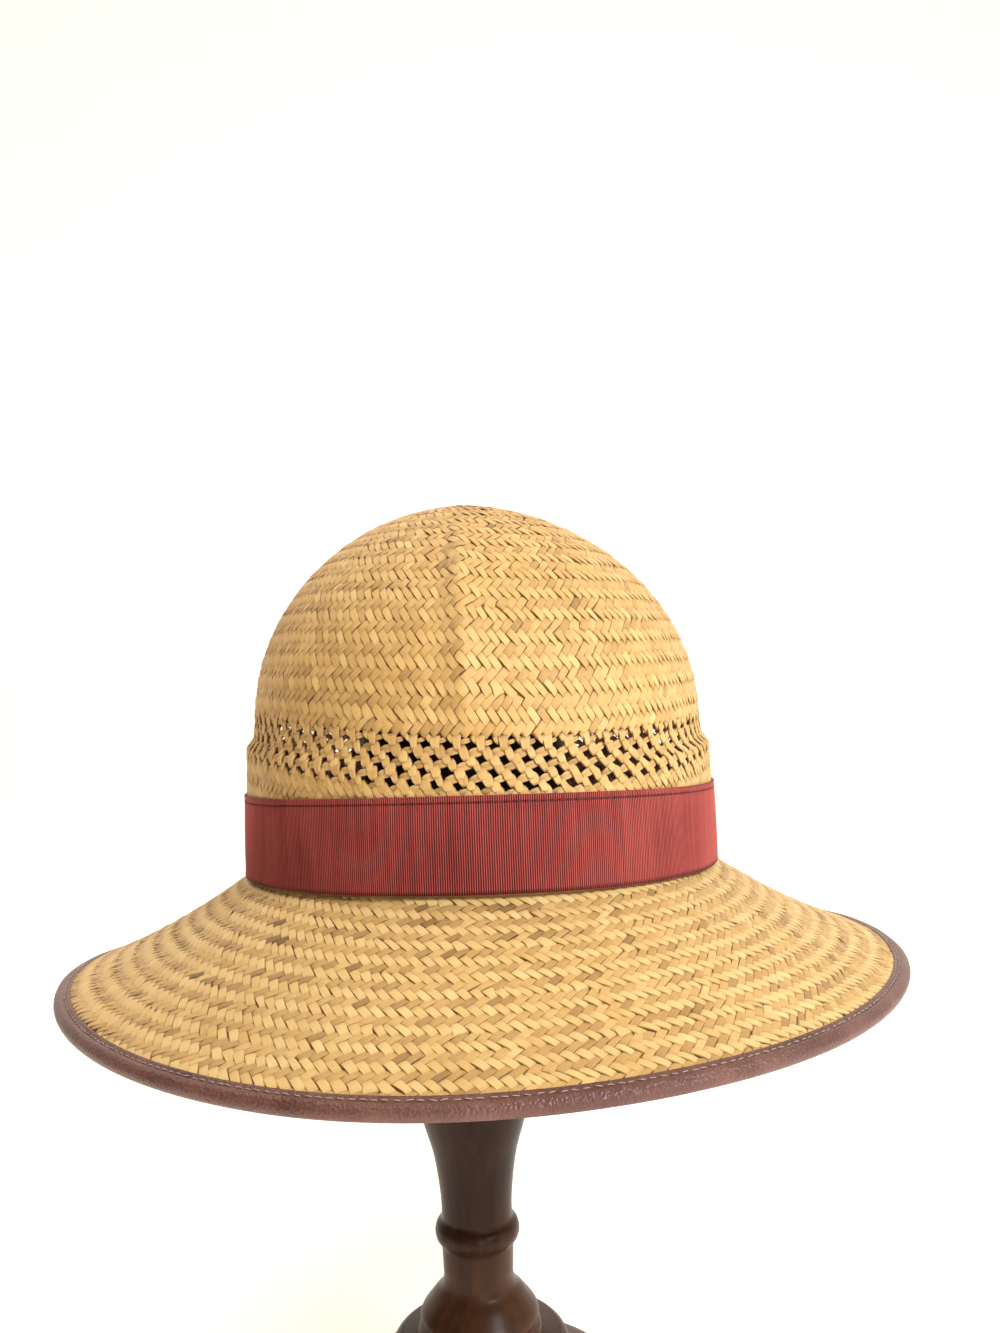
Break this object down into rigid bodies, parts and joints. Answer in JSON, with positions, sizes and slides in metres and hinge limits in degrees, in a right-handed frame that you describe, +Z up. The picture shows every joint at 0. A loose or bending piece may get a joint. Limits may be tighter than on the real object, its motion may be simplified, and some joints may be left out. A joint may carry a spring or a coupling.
{
  "type": "safari hat on a turned wooden stand",
  "caption": "Woven straw safari hat with a domed crown, openwork vent band, ribbon and leather-bound sloping brim, held up on a turned wooden stand.",
  "frame": {"origin": "centre of the stand's flat underside, on the surface it stands on", "axes": "+Z up along the stand's turning axis, the hat's front ridge faces -Y, +X is to the right of someone looking at the front"},
  "size_m": [0.2994, 0.338, 0.3484],
  "materials": {
    "straw": "satin",
    "ribbon": "matte",
    "binding": "satin",
    "wood": "satin"
  },
  "bodies": {
    "root": {"crown_dome": "straw", "vent_band": "straw", "crown_wall": "straw", "brim": "straw", "hat_ribbon": "ribbon", "brim_binding": "binding", "stand_base": "wood", "stand_post": "wood", "stand_head": "wood"}
  },
  "joints": []
}
